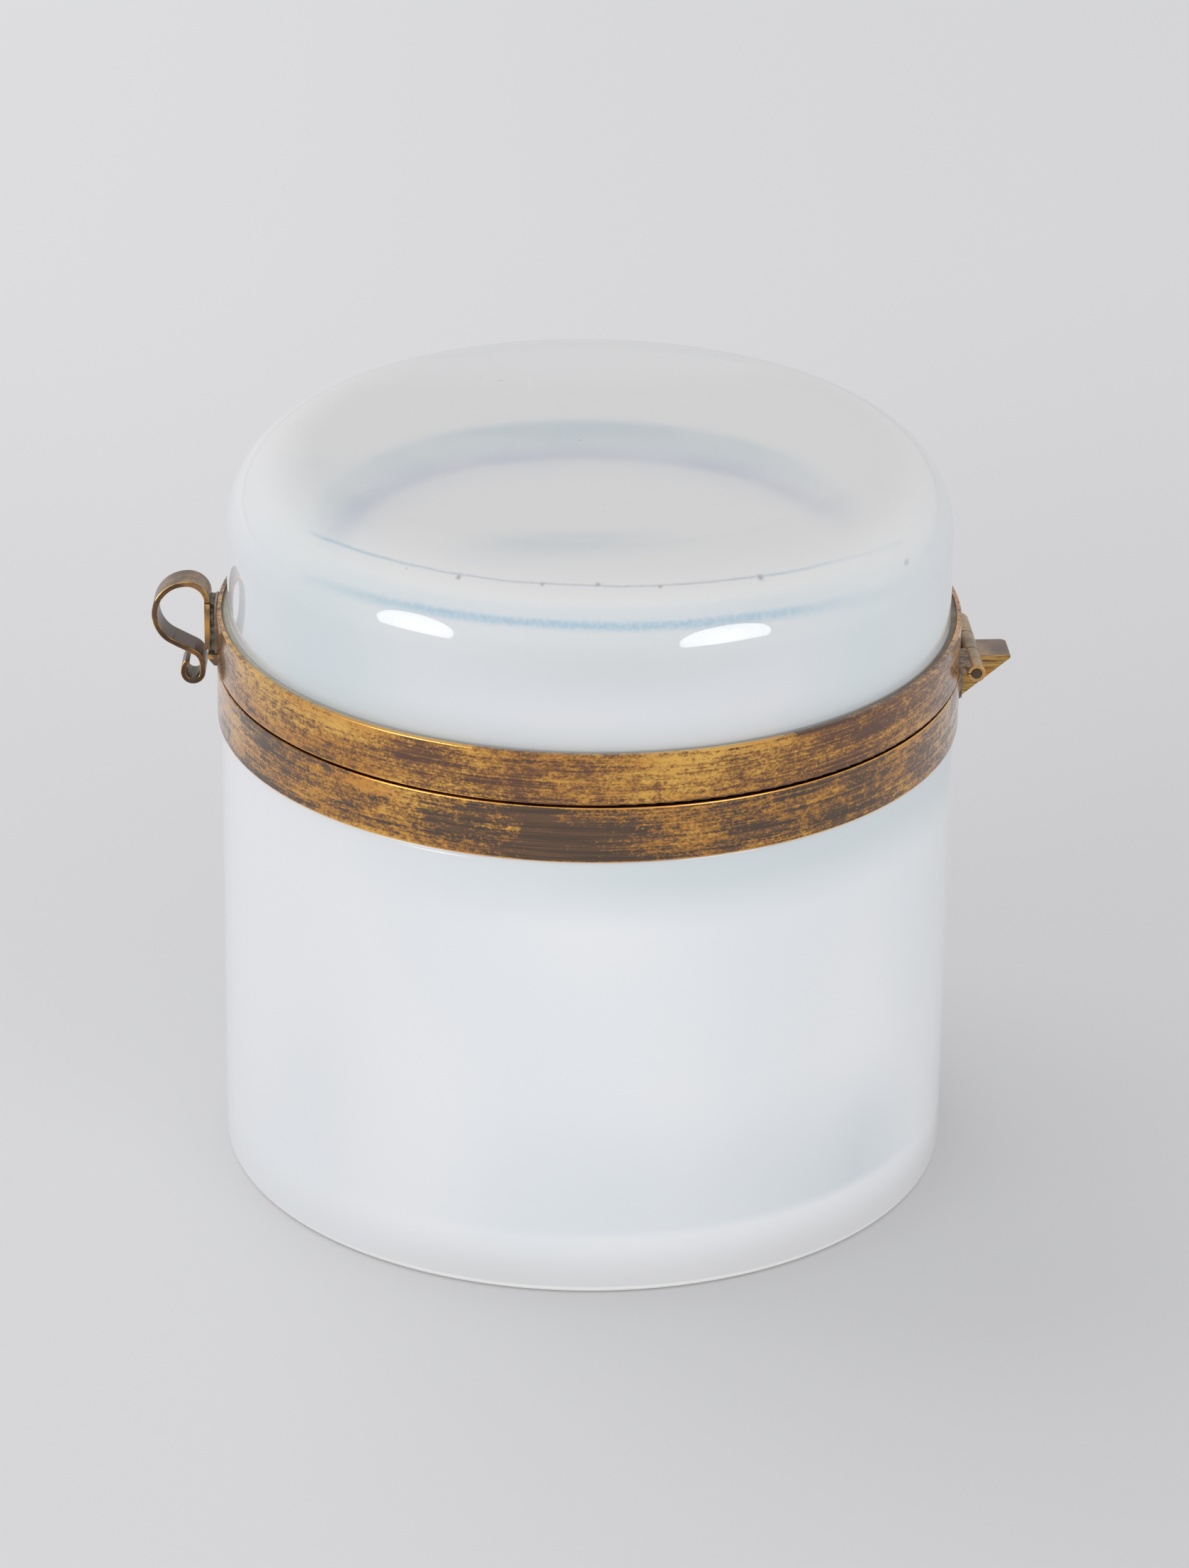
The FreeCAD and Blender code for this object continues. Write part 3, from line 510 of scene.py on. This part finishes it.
def aged_brass(name, edges, spread, browns, patchy=1.1):
    """Lacquered brass, brushed round the box, with brown patina in patches, streaks and specks.

    edges are (height, wear) pairs: the metal is worn bright along these heights where wear is 1; along
    a rounded edge this is also a painted highlight.
    spread are (place, amount) stops in millimetres along X that add patina, or take it away.
    """
    shader = Shader(name)
    patches = shader.noise((90, 90, 190), detail=2.0, rough=0.5, shift=1.3)
    streaks = shader.noise((65, 65, 3000), detail=2.0, rough=0.6, shift=0.4)
    specks = shader.noise((2000, 2000, 2900), detail=2.5, rough=0.7)
    grain = shader.noise((600, 600, 1300), detail=2.0, rough=0.6, shift=5.0)
    parts = ((patches, patchy), (streaks, 0.68), (specks, 1.0), (grain, 0.75))
    total = 0.0
    for part, weight in parts:
        total = shader.math("MULTIPLY_ADD", part, weight, total)
    middle = sum(weight for _, weight in parts) / 2
    # A colour ramp holds no negative numbers, so its stops are raised by 0.5.
    added = shader.levels(shader.axis("X"), 0.0, [(place, amount + 0.5) for place, amount in spread])
    total = shader.math("SUBTRACT", shader.math("ADD", total, added), 0.5)
    for height, wear in edges:
        worn = shader.times(shader.band(shader.axis("Z"), height, EDGE_HALF), wear(shader))
        total = shader.math("MULTIPLY_ADD", worn, -0.9, total)
    tarnish = shader.ramp(total, middle - 0.34, middle + 0.04)
    patina = shader.ramp(total, middle - 0.07, middle + 0.14)
    warmth = shader.noise((45, 45, 160), detail=2.0, shift=9.0)
    gold = shader.mix(shader.ramp(warmth, 0.35, 0.65), GOLD, DEEP_GOLD)
    brown = shader.mix(shader.ramp(streaks, 0.38, 0.62), *browns)
    colour = shader.mix(patina, shader.mix(tarnish, gold, shader.mix(grain, OCHRE, DEEP_OCHRE)), brown)
    relief = shader.math("MULTIPLY_ADD", streaks, 0.7, shader.times(specks, 0.2))
    shader.set(
        Base_Color=colour,
        Metallic=shader.ramp(patina, 0.0, 1.0, 1.0, 0.35),
        Roughness=shader.ramp(patina, 0.0, 1.0, 0.24, 0.40),
        Normal=shader.bump(relief, 0.02 * MM),
        Coat_Weight=0.9,
        Coat_Roughness=0.16,
        Anisotropic=0.5,
        Tangent=shader.node("ShaderNodeTangent", direction_type="RADIAL", axis="Z").outputs[0])
    return shader


def handled_brass(name, gold=0.0, light=HANDLED_LIGHT, dark=HANDLED_DARK, edge_face=False):
    """Brass dulled brown and rubbed smooth by fingers.

    gold is how much of it is worn bright. edge_face browns the faces that look to the front.
    """
    shader = Shader(name)
    slow = shader.noise((170, 170, 170), detail=2.0, shift=2.2)
    fine = shader.noise((1500, 1500, 1500), detail=2.0, rough=0.6, shift=8.0)
    scratches = shader.noise((140, 3600, 140), detail=2.0, rough=0.6)
    tone = shader.math("MULTIPLY_ADD", fine, 0.2, shader.times(scratches, 0.2))
    tone = shader.math("MULTIPLY_ADD", slow, 0.6, tone)
    dull = shader.mix(shader.ramp(tone, 0.36, 0.62), light, dark)
    if edge_face:
        brown = shader.mix(shader.ramp(slow, 0.35, 0.6), rgb(136, 92, 52), rgb(74, 52, 36))
        dull = shader.mix(shader.ramp(shader.facing("Y"), -0.8, -0.95, 0.0, 0.75), dull, brown)
    gilt = shader.ramp(tone, 0.5, 0.34 + 0.3 * gold, 0.0, min(1.0, 0.35 + gold))
    shader.set(
        Base_Color=shader.mix(gilt, dull, shader.mix(fine, RUBBED_GOLD, DULL_GOLD)),
        Metallic=0.75,
        Roughness=0.34,
        Coat_Weight=0.3,
        Coat_Roughness=0.2,
        Normal=shader.bump(shader.math("ADD", scratches, fine), 0.01 * MM))
    return shader


def worn_edge(name, axis, place, half):
    """Bright brass along worn edges, left brown within a distance of a place along one axis."""
    shader = Shader(name)
    worn = shader.noise((420, 420, 420), detail=2.0)
    away = shader.math("ABSOLUTE", shader.math("SUBTRACT", shader.axis(axis), place))
    bright = shader.times(
        shader.ramp(away, half, half * 1.3), shader.ramp(worn, 0.4, 0.56, 0.15, 1.0))
    colour = shader.mix(bright, rgb(84, 62, 46), rgb(236, 184, 104))
    shader.set(Base_Color=colour, Metallic=0.9, Roughness=0.3)
    return shader.material


def stop_brass():
    """The stop: a dull brown top with a dark stain near its tip, and a filed golden front."""
    shader = handled_brass("stop_patina", light=rgb(158, 136, 114), dark=rgb(124, 102, 86))
    low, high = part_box("hinge_stop_wedge")
    on_top = shader.ramp(shader.axis("Z"), high.z - 0.4 * MM, high.z - 0.1 * MM)
    stain = shader.near((high.x - 1.3 * MM, -0.8 * MM, high.z), 3.0 * MM)
    repaint(shader, shader.times(stain, on_top, 0.7), rgb(98, 82, 80))
    files = shader.noise((260, 260, 3400), detail=3.0, rough=0.6, shift=1.0)
    filed = shader.mix(shader.ramp(files, 0.36, 0.64), rgb(200, 156, 84), rgb(100, 78, 52))
    amber = shader.near((low.x + 4.6 * MM, low.y, high.z - 2.9 * MM), 1.9 * MM, (1, 1, 1.8))
    filed = shader.mix(shader.times(amber, 0.75), filed, rgb(200, 118, 38))
    on_front = shader.ramp(shader.axis("Y"), low.y + 0.25 * MM, low.y + 0.12 * MM)
    repaint(shader, on_front, filed)
    return shader.material


def plain_cement():
    """Grey-white cement, stained brown by the brass around it and dirtier towards the hinge."""
    shader = Shader("grout")
    cloud = shader.noise((300, 300, 500), detail=4.0, rough=0.6)
    by_brass = shader.ramp(shader.away_from((0, 0, 0)), *CEMENT_STAIN, 0.15, 0.85)
    by_hinge = shader.ramp(shader.axis("X"), 5 * MM, 45 * MM, 0.0, 0.75)
    stain = shader.times(
        shader.math("MAXIMUM", by_brass, by_hinge), shader.ramp(cloud, 0.3, 0.5, 0.7, 1.0))
    clean = shader.mix(cloud, rgb(208, 206, 194), rgb(164, 161, 146))
    shader.set(
        Base_Color=shader.mix(stain, clean, rgb(104, 84, 62)),
        Roughness=0.7,
        Normal=shader.bump(cloud, 0.08 * MM))
    return shader.material


def soft_solder(name, light, dark):
    shader = Shader(name)
    cloud = shader.noise((1300, 1300, 1300), detail=3.0, rough=0.6)
    colour = shader.mix(shader.ramp(cloud, 0.36, 0.62), light, dark)
    shader.set(Base_Color=colour, Metallic=0.6, Roughness=0.4, Normal=shader.bump(cloud, 0.1 * MM))
    return shader.material


def dark_steel():
    shader = Shader("pin_wire")
    cloud = shader.noise((2500, 900, 2500), detail=3.0, rough=0.6)
    colour = shader.mix(cloud, rgb(112, 96, 82), rgb(60, 50, 43))
    shader.set(Base_Color=colour, Metallic=0.9, Roughness=0.38, Normal=shader.bump(cloud, 0.03 * MM))
    return shader.material


# ---------------------------------------------------------------- turned pieces

def rounded_profile(corners):
    """Points of a closed outline from (radius, height, round) corners, in order."""
    points = []
    count = len(corners)
    for index in range(count):
        here = Vector(corners[index][:2])
        before = Vector(corners[index - 1][:2])
        after = Vector(corners[(index + 1) % count][:2])
        turn = corners[index][2]
        if turn <= 0:
            points.append(here)
            continue
        back = (before - here).normalized()
        on = (after - here).normalized()
        half = back.angle(on) / 2
        reach = turn / math.tan(half)
        centre = here + (back + on).normalized() * (turn / math.sin(half))
        start = here + back * reach - centre
        sweep = start.angle_signed(here + on * reach - centre)
        steps = max(FEWEST_ARC_STEPS, math.ceil(abs(sweep) * turn / ARC_STEP))
        for step in range(steps + 1):
            angle = -sweep * step / steps
            cosine, sine = math.cos(angle), math.sin(angle)
            points.append(centre + Vector((
                start.x * cosine - start.y * sine, start.x * sine + start.y * cosine)))
    return points


def with_steps(points):
    """The same closed outline with its long straight runs divided, apart from any along the axis."""
    divided = []
    for index, point in enumerate(points):
        after = points[(index + 1) % len(points)]
        parts = max(1, math.ceil((after - point).length / RUN_STEP))
        if point.x < ON_AXIS and after.x < ON_AXIS:
            parts = 1
        divided += [point.lerp(after, part / parts) for part in range(parts)]
    return divided


def ring_of(bm, point):
    """The vertices that a point of the outline leaves when it is turned about Z."""
    if point.x < ON_AXIS:
        return [bm.verts.new((0, 0, point.y))]
    angles = [math.tau * step / GLASS_SEGMENTS for step in range(GLASS_SEGMENTS)]
    return [
        bm.verts.new((point.x * math.cos(angle), point.x * math.sin(angle), point.y))
        for angle in angles
    ]


def turned(name, corners, materials, inside):
    """A mesh turned about Z. inside says, for a point, whether its faces get the second material."""
    points = with_steps(rounded_profile(corners))
    bm = bmesh.new()
    rings = [ring_of(bm, point) for point in points]
    for index, ring in enumerate(rings):
        following = (index + 1) % len(rings)
        other = rings[following]
        if len(ring) == 1 and len(other) == 1:
            continue
        slot = 1 if inside(points[index].lerp(points[following], 0.5)) else 0
        for step in range(GLASS_SEGMENTS):
            ends = [
                ring[step % len(ring)], ring[(step + 1) % len(ring)],
                other[(step + 1) % len(other)], other[step % len(other)],
            ]
            # On the axis two ends are the same vertex, and the face is a triangle.
            face = bm.faces.new(dict.fromkeys(ends))
            face.smooth = True
            face.material_index = slot
    bmesh.ops.recalc_face_normals(bm, faces=bm.faces)
    piece = placed(name, bm, materials)
    even = piece.modifiers.new("even_shading", "WEIGHTED_NORMAL")
    even.weight = EVEN_SHADING_WEIGHT
    return piece


def placed(name, bm, materials):
    """An object made from a bmesh, which is freed."""
    mesh = bpy.data.meshes.new(name)
    bm.to_mesh(mesh)
    bm.free()
    for material in materials:
        mesh.materials.append(material)
    return added(name, mesh)


def added(name, data):
    """A new object in the scene that holds a mesh, lamp or camera."""
    made = bpy.data.objects.new(name, data)
    bpy.context.scene.collection.objects.link(made)
    return made


def stand_for(piece, node):
    """The piece takes a CAD node's place and body, and the CAD node is hidden."""
    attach(piece, "lid" if node.startswith("lid") else "base")
    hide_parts(node)


def make_jar():
    radius = outer_radius("jar_glass")
    rim = top("jar_glass")
    step = foot("lower_band")
    bore = radius - JAR_WALL
    corners = [
        (0, 0, 0),
        (radius, 0, JAR_FOOT_ROUND),
        (radius, step, STEP_ROUND),
        (radius - RIM_STEP, step, 0),
        (radius - RIM_STEP, rim, RIM_ROUND),
        (bore, rim, RIM_ROUND),
        (bore, JAR_FLOOR, JAR_CORNER_ROUND),
        (0, JAR_FLOOR, 0),
    ]

    def inside(point):
        return point.x < bore + RIM_ROUND and point.y > JAR_FLOOR / 2
    jar = turned("jar_body", corners, [jar_opal(step), jar_opal_inner()], inside)
    stand_for(jar, "jar_glass")


def make_lid():
    radius = outer_radius("lid_glass")
    rim = foot("lid_glass")
    edge_top = rim + LID_RIM_HEIGHT
    ceiling = edge_top - LID_DISH - LID_CROWN
    bore = radius - LID_WALL
    dish = [(radius * share, edge_top - LID_DISH * (1 - share ** 2), 0) for share in DISH_SHARES]
    corners = [
        (0, ceiling, 0),
        (bore, ceiling, LID_CORNER_ROUND),
        (bore, rim, RIM_ROUND),
        (radius, rim, RIM_ROUND),
        (radius, edge_top - SHOULDER_DROP, LID_SHOULDER_ROUND),
    ] + dish

    def inside(point):
        return point.x < bore + RIM_ROUND and point.y < ceiling + LID_CROWN / 3
    lid = turned("lid_dome", corners, [lid_opal(edge_top), lid_opal_inner(ceiling)], inside)
    stand_for(lid, "lid_glass")


# ---------------------------------------------------------------- CAD nodes

def dress(node, material, bevel=0.0, edge=None):
    """A better finish on a CAD node, and worn edges where bevel is given."""
    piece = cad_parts[node]
    piece.data.materials.clear()
    piece.data.materials.append(material)
    if not bevel:
        return
    piece.modifiers.new("joined_faces", "WELD").merge_threshold = WELD_REACH
    worn = piece.modifiers.new("worn_edges", "BEVEL")
    worn.width = bevel
    worn.segments = 2
    worn.limit_method = "ANGLE"
    worn.angle_limit = BEVEL_ANGLE
    if edge:
        piece.data.materials.append(edge)
        worn.material = 1
    piece.modifiers.new("even_shading", "WEIGHTED_NORMAL").keep_sharp = True


def dabs(*places):
    """Wear in dabs, each at a place along X and fading over a length, in millimetres."""
    def wear(shader):
        total = 0.0
        for place, half in places:
            dab = shader.band(shader.axis("X"), place * MM, half * MM)
            total = shader.math("ADD", dab, total)
        return total
    return wear


def wear_patches(shader):
    """Wear in patches, the same from top to bottom."""
    return shader.ramp(shader.noise((30, 30, 0), detail=1.0, shift=2.5), 0.4, 0.6)


def lid_band_brass():
    low, high = foot("lid_band"), top("lid_band")
    shader = aged_brass(
        "lid_band_patina",
        edges=((high, dabs((-30, 13), (17, 8))), (low, wear_patches)),
        spread=((-55, -0.04), (-48, -0.12), (-42, -0.1), (-28, -0.04), (-9, 0.1), (13, -0.18),
                (33, 0.07), (46, 0.04), (55, 0.0)),
        browns=(rgb(114, 71, 32), rgb(83, 47, 20)),
        patchy=0.9)
    # Black-brown painted shade in the seam along the lower edge, from the middle towards the hinge.
    seam_shade = shader.times(
        shader.ramp(shader.axis("Z"), low + 0.45 * MM, low + 0.2 * MM, 0.0, 0.85),
        shader.ramp(shader.axis("X"), -22 * MM, 15 * MM))
    repaint(shader, seam_shade, rgb(92, 62, 30))
    return shader.material


def lower_band_brass():
    low, high = foot("lower_band"), top("lower_band")
    # Both edges are worn bright; the bright line along the whole lower edge is also a painted highlight.
    return aged_brass(
        "lower_band_patina",
        edges=((high, dabs((10, 60))), (low, dabs((0, 160)))),
        spread=((-55, -0.06), (-45, 0.07), (-29, -0.16), (-19, 0.1), (-11, 0.42), (-2, 0.16),
                (12, -0.06), (36, 0.08), (55, 0.0)),
        browns=(rgb(97, 66, 38), rgb(65, 44, 25))).material


def loop_brass():
    """The clasp's loop: browner on the front edge, and on the inside low down."""
    shader = handled_brass("loop_patina", edge_face=True)
    inside = shader.times(
        shader.ramp(shader.facing("Z"), -0.1, 0.15),
        shader.ramp(shader.axis("Z"), *LOOP_SHADE),
        0.85)
    repaint(shader, inside, rgb(72, 55, 44))
    return shader.material


def leg_brass():
    """The ribbon's leg, rubbed golden at a place on its left front edge."""
    shader = handled_brass("leg_patina", gold=0.35, light=rgb(170, 132, 90))
    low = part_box("clasp_leg")[0]
    rubbed = shader.near((low.x, low.y, low.z + 3.9 * MM), 3.2 * MM, (0.5, 0.5, 1.0))
    repaint(shader, shader.times(rubbed, 0.8), rgb(222, 164, 84))
    return shader.material


def knuckle_brass():
    """The hinge's tubes, with filed golden ends."""
    shader = handled_brass("knuckle_patina", light=rgb(172, 148, 118), dark=rgb(112, 90, 68))
    front_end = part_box("hinge_knuckle_front")[0].y
    out = shader.math("ABSOLUTE", shader.axis("Y"))
    filed = shader.ramp(out, -front_end - 0.25 * MM, -front_end - 0.12 * MM, 0.0, 0.75)
    repaint(shader, filed, rgb(196, 150, 84))
    return shader.material


def dress_brass():
    dress("lid_band", lid_band_brass())
    dress("lower_band", lower_band_brass())
    clasp_edge = worn_edge("clasp_edge_wear", "Z", top("clasp_leg"), 0.35 * MM)
    hinge_edge = worn_edge("hinge_edge_wear", "Y", 0.0, 4.0 * MM)
    dress("clasp_loop", loop_brass(), WORN_BEVEL, clasp_edge)
    dress("clasp_leg", leg_brass(), WORN_BEVEL, clasp_edge)
    dress("catch_bead", handled_brass("catch_patina", gold=0.4).material, WORN_BEVEL, clasp_edge)
    plate = handled_brass("plate_patina", light=rgb(184, 158, 134))
    dress("clasp_backplate", plate.material, FINE_BEVEL)
    tube = knuckle_brass()
    for name in ("middle", "front", "rear"):
        dress("hinge_knuckle_" + name, tube, FINE_BEVEL, hinge_edge)
    dress("hinge_stop_wedge", stop_brass(), WORN_BEVEL)


def dress_fittings():
    brown_tin = soft_solder("hinge_tin", rgb(158, 134, 108), rgb(92, 74, 58))
    for name in ("middle", "front", "rear"):
        dress("hinge_knuckle_" + name + "_solder", brown_tin)
    dress("hinge_stop_solder", soft_solder("stop_tin", rgb(140, 134, 124), rgb(86, 78, 66)))
    dress("clasp_solder", soft_solder("clasp_tin", rgb(118, 118, 106), rgb(46, 40, 34)))
    dress("hinge_pin", dark_steel(), FINE_BEVEL)
    grout = plain_cement()
    dress("jar_cement", grout)
    dress("lid_cement", grout)


# ---------------------------------------------------------------- studio

def around(distance, swing, elevation):
    """A point at a distance from the parting of the bands.

    Swing 0 is in front, and positive to the right.
    """
    level = distance * math.cos(elevation)
    height = PARTING + distance * math.sin(elevation)
    return Vector((level * math.sin(swing), -level * math.cos(swing), height))


def towards_box(place):
    """The turn that makes a lamp or camera at a place look at the box."""
    return (Vector((0, 0, PARTING)) - place).to_track_quat("-Z", "Y")


def make_camera():
    camera = added("camera", bpy.data.cameras.new("camera"))
    camera.location = around(CAMERA_DISTANCE, CAMERA_SWING, CAMERA_ELEVATION)
    turn = Quaternion((0, 1, 0), -CAMERA_PAN) @ Quaternion((1, 0, 0), CAMERA_TILT)
    roll = Quaternion((0, 0, 1), CAMERA_ROLL)
    camera.rotation_mode = "QUATERNION"
    camera.rotation_quaternion = towards_box(camera.location) @ turn @ roll
    camera.data.lens = CAMERA_LENS
    camera.data.clip_start, camera.data.clip_end = CAMERA_CLIP
    bpy.context.scene.camera = camera


def make_lamp(name, distance, swing, elevation, radius, radiance, spread=math.pi, mirrored=True):
    """A round soft light that looks at the box. One that isn't mirrored gives no highlights.

    Swing and elevation are in degrees, swing from the camera's side. The radiance is what the box
    sees at the light's middle. A spread under half a turn keeps the light off the floor beside it.
    """
    lamp = bpy.data.lights.new(name, "AREA")
    lamp.shape = "DISK"
    lamp.size = 2 * radius
    lamp.spread = spread
    # A narrow spread makes the middle of the light brighter by this much; at half a turn it is 1.
    gain = math.tan(spread / 2) / (math.tan(spread / 2) - spread / 2)
    lamp.energy = radiance * math.pi * math.pi * radius ** 2 / gain
    spot = added(name, lamp)
    spot.location = around(distance, CAMERA_SWING + math.radians(swing), math.radians(elevation))
    spot.rotation_mode = "QUATERNION"
    spot.rotation_quaternion = towards_box(spot.location)
    spot.visible_glossy = mirrored


def make_floor():
    shader = Shader("paper_sweep")
    # Painted light and shade on the paper: darker to the right, lighter towards the back.
    shade_to_right = shader.ramp(shader.axis("X"), -80 * MM, 120 * MM)
    light_to_back = shader.ramp(shader.axis("Y"), 60 * MM, 420 * MM, 0.0, 0.5)
    paper = shader.mix(shade_to_right, rgb(223, 223, 225), rgb(216, 216, 218))
    paper = shader.mix(light_to_back, paper, rgb(234, 234, 236))
    shader.set(Base_Color=paper, Roughness=0.9)
    bm = bmesh.new()
    bmesh.ops.create_grid(bm, x_segments=FLOOR_SQUARES, y_segments=FLOOR_SQUARES, size=FLOOR_REACH)
    floor = placed("floor", bm, [shader.material])


def make_world():
    world = bpy.data.worlds.new("studio")
    bpy.context.scene.world = world
    world.use_nodes = True
    back = world.node_tree.nodes["Background"]
    back.inputs["Color"].default_value = (1.0, 1.0, 1.0, 1.0)
    back.inputs["Strength"].default_value = WORLD_LIGHT


def make_studio():
    make_camera()
    make_floor()
    make_world()
    make_lamp("umbrella_left", 1.1, -53, 2, radius=0.25, radiance=7.5, spread=UMBRELLA_SPREAD)
    make_lamp("umbrella_right", 1.1, 41, 1, radius=0.28, radiance=8.3, spread=UMBRELLA_SPREAD)
    make_lamp("back_panel", 1.6, -131, 42, radius=1.0, radiance=0.8, mirrored=False)
    bpy.context.scene.view_settings.view_transform = "Standard"


make_jar()
make_lid()
dress_brass()
dress_fittings()
make_studio()
